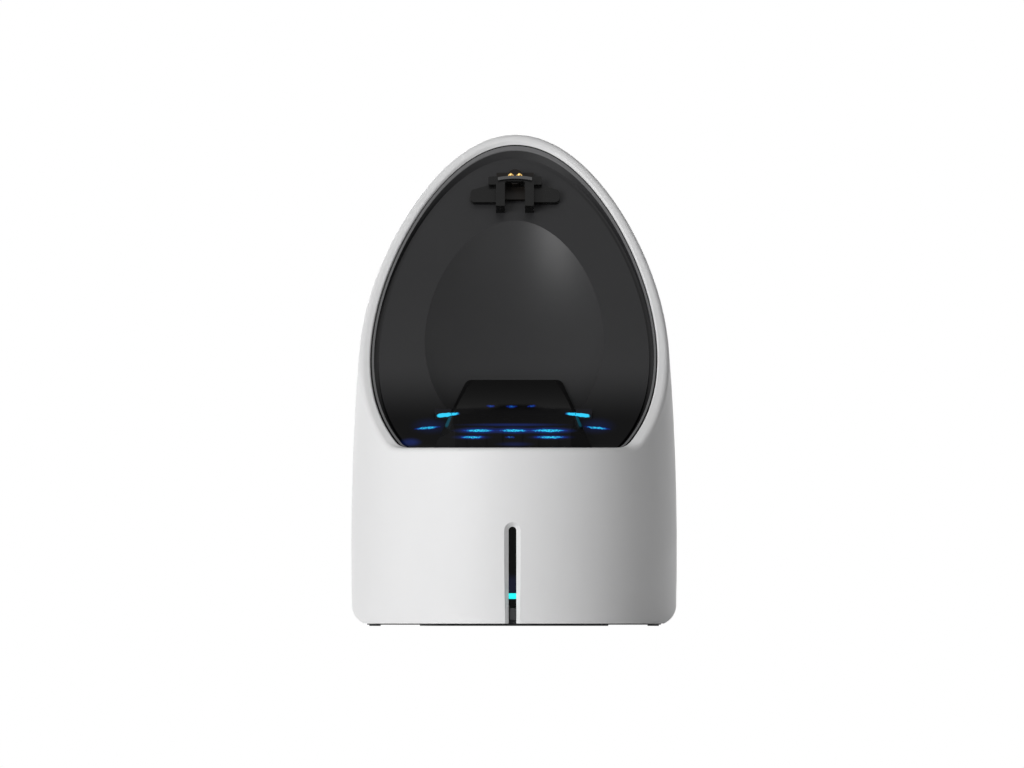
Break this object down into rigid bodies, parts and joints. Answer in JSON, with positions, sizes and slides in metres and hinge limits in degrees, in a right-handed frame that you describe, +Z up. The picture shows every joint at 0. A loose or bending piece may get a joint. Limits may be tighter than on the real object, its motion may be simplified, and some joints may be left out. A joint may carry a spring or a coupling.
{
  "type": "controller charging dock",
  "caption": "White oblique-cut cup that stands on a desk, with a black scooped cradle, lit saddle, spring contacts at the top and a lit slot in front",
  "frame": {"origin": "bottom centre of the bounding box, on the floor under the middle of the cup", "axes": "+Z up, +X to the viewer's right, the front with the lit slot faces -Y"},
  "size_m": [0.084, 0.084, 0.1268],
  "materials": {
    "white_shell": "semi-gloss",
    "satin_black": "satin",
    "gloss_black": "gloss",
    "blue_light": "lit",
    "cyan_light": "lit",
    "circuit_board": "solder mask",
    "led_body": "matte",
    "chip_body": "matte",
    "gold_contact": "plated",
    "lead_sheath": "matte",
    "grey_base": "matte",
    "screw_steel": "zinc plated",
    "inlet_steel": "bright",
    "foot_rubber": "matte"
  },
  "bodies": {
    "dock": {"outer_shell": "white_shell", "cradle_liner": "satin_black", "saddle_panel": "gloss_black", "glow_windows": "blue_light", "side_lights": "blue_light", "glow_board": "circuit_board", "glow_leds": "led_body", "contact_housing": "satin_black", "guide_frame": "satin_black", "guide_bar": "gloss_black", "contact_board": "circuit_board", "pin_barrels": "gold_contact", "contact_cable": "lead_sheath", "glow_cable": "lead_sheath", "base_plate": "grey_base", "base_screws": "screw_steel", "liner_screws": "screw_steel", "board_screws": "screw_steel", "main_board": "circuit_board", "control_chip": "chip_body", "power_coil": "chip_body", "capacitors": "led_body", "lead_sockets": "led_body", "usb_shell": "inlet_steel", "usb_tongue": "chip_body", "slot_lens": "gloss_black", "indicator_window": "cyan_light", "indicator_led": "led_body", "indicator_board": "circuit_board", "foot_left": "foot_rubber", "foot_right": "foot_rubber", "foot_front": "foot_rubber", "foot_rear": "foot_rubber"},
    "pin_left": {"contact_pin_left": "gold_contact"},
    "pin_right": {"contact_pin_right": "gold_contact"}
  },
  "joints": [
    {"name": "pin_left_travel", "type": "slide", "parent": "dock", "child": "pin_left", "axis": [0, 0.9029, -0.4298], "range_m": [0, 0.001], "stiffness_N_per_m": 300, "springref_m": -0.001},
    {"name": "pin_right_travel", "type": "slide", "parent": "dock", "child": "pin_right", "axis": [0, 0.9029, -0.4298], "range_m": [0, 0.001], "stiffness_N_per_m": 300, "springref_m": -0.001}
  ]
}
